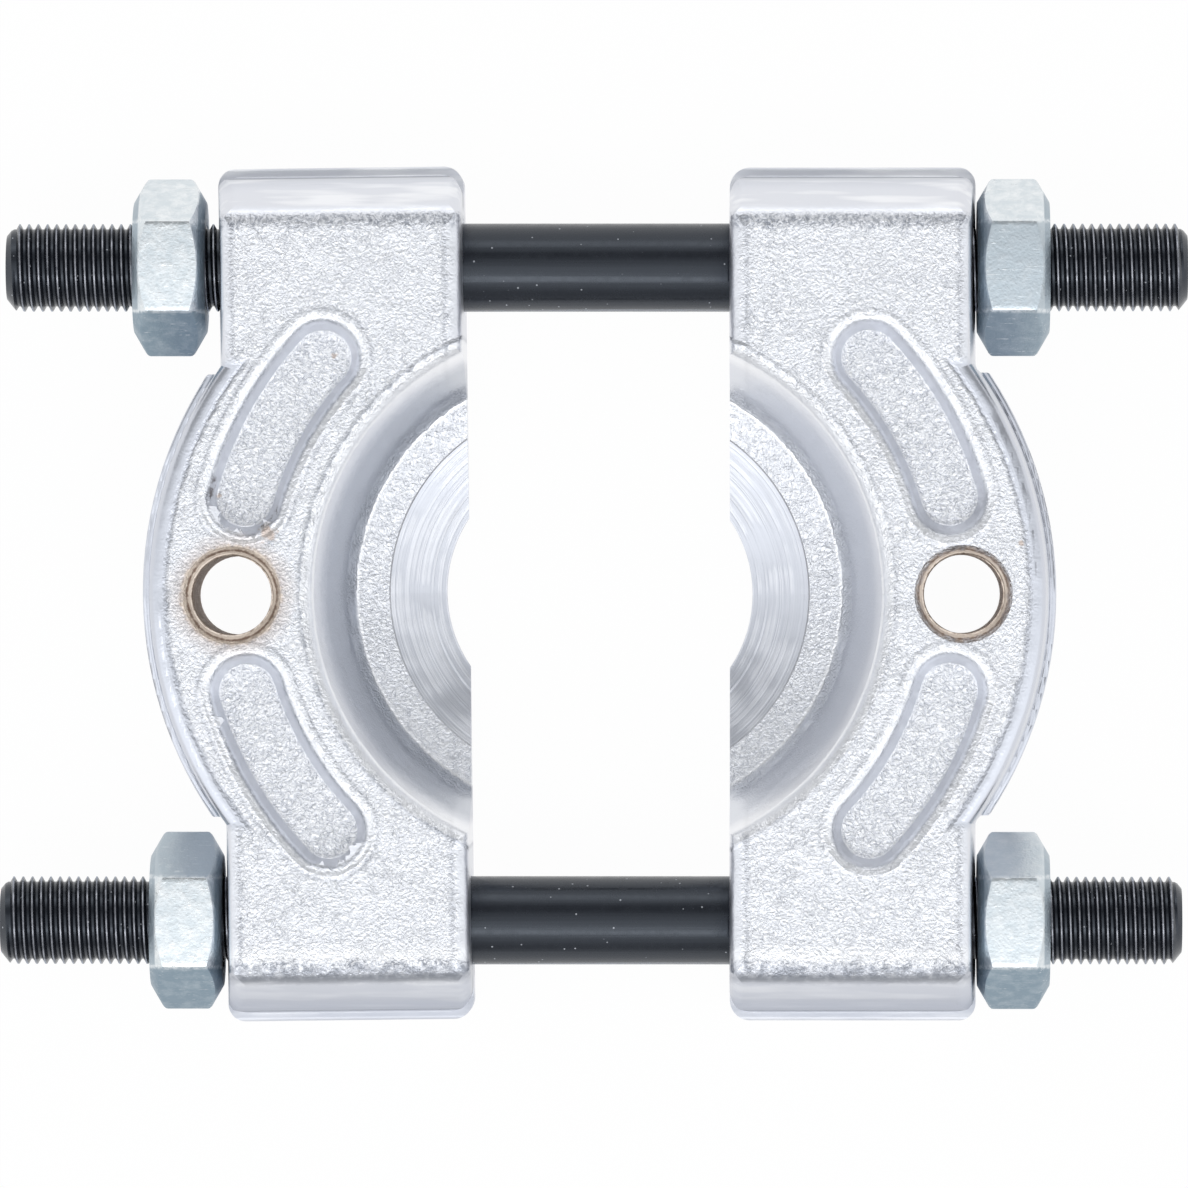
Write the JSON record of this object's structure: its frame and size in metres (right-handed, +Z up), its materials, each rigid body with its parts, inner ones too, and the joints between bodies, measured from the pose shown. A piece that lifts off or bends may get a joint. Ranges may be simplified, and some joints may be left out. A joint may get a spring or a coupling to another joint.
{
  "type": "bearing separator",
  "caption": "Split plate of facing forged jaws with a knife-edged half-round recess, drawn together on parallel threaded studs by hexagon nuts.",
  "frame": {"origin": "on the surface that the flat backs stand on, midway between the ends of the studs and between the studs", "axes": "+X along the studs towards the right jaw, +Y from the lower stud to the upper stud, +Z up from the flat backs to the recessed faces"},
  "size_m": [0.1608, 0.1164, 0.026],
  "materials": {
    "jaw_plating": "bright satin plating over a grainy forged skin, bare where it is machined",
    "stud_black_oxide": "black oxide, semi-gloss",
    "nut_zinc": "bright zinc plating"
  },
  "bodies": {
    "jaw_left": {"jaw_left": "jaw_plating"},
    "jaw_right": {"jaw_right": "jaw_plating"},
    "stud_upper": {"stud_upper": "stud_black_oxide"},
    "stud_lower": {"stud_lower": "stud_black_oxide"},
    "nut_left_upper": {"nut_left_upper": "nut_zinc"},
    "nut_left_lower": {"nut_left_lower": "nut_zinc"},
    "nut_right_upper": {"nut_right_upper": "nut_zinc"},
    "nut_right_lower": {"nut_right_lower": "nut_zinc"}
  },
  "joints": [
    {"name": "stud_upper_slide", "type": "slide", "parent": "jaw_right", "child": "stud_upper", "axis": [1, 0, 0], "range_m": [-0.0178, 0.0173]},
    {"name": "stud_lower_slide", "type": "slide", "parent": "jaw_right", "child": "stud_lower", "axis": [1, 0, 0], "range_m": [-0.0178, 0.0173]},
    {"name": "jaw_left_slide", "type": "slide", "parent": "stud_upper", "child": "jaw_left", "axis": [1, 0, 0], "range_m": [-0.0172, 0.0173]},
    {"name": "nut_left_lower_spin", "type": "hinge", "parent": "jaw_left", "child": "nut_left_lower", "pos_m": [0, -0.04425, 0.013], "axis": [1, 0, 0], "range_deg": [-4953.6, 4982.4]},
    {"name": "nut_left_upper_spin", "type": "hinge", "parent": "jaw_left", "child": "nut_left_upper", "pos_m": [0, 0.04425, 0.013], "axis": [1, 0, 0], "range_deg": [-4953.6, 4982.4]},
    {"name": "nut_right_lower_spin", "type": "hinge", "parent": "jaw_right", "child": "nut_right_lower", "pos_m": [0, -0.04425, 0.013], "axis": [1, 0, 0], "range_deg": [-4982.4, 5126.4]},
    {"name": "nut_right_upper_spin", "type": "hinge", "parent": "jaw_right", "child": "nut_right_upper", "pos_m": [0, 0.04425, 0.013], "axis": [1, 0, 0], "range_deg": [-4982.4, 5126.4]}
  ],
  "couplings": [
    {"joint": "nut_left_lower_spin", "follows": "jaw_left_slide", "rad_per_m": 5026.5},
    {"joint": "nut_left_upper_spin", "follows": "jaw_left_slide", "rad_per_m": 5026.5},
    {"joint": "stud_lower_slide", "follows": "stud_upper_slide", "ratio": 1},
    {"joint": "nut_right_lower_spin", "follows": "stud_upper_slide", "rad_per_m": -5026.5},
    {"joint": "nut_right_upper_spin", "follows": "stud_upper_slide", "rad_per_m": -5026.5}
  ]
}
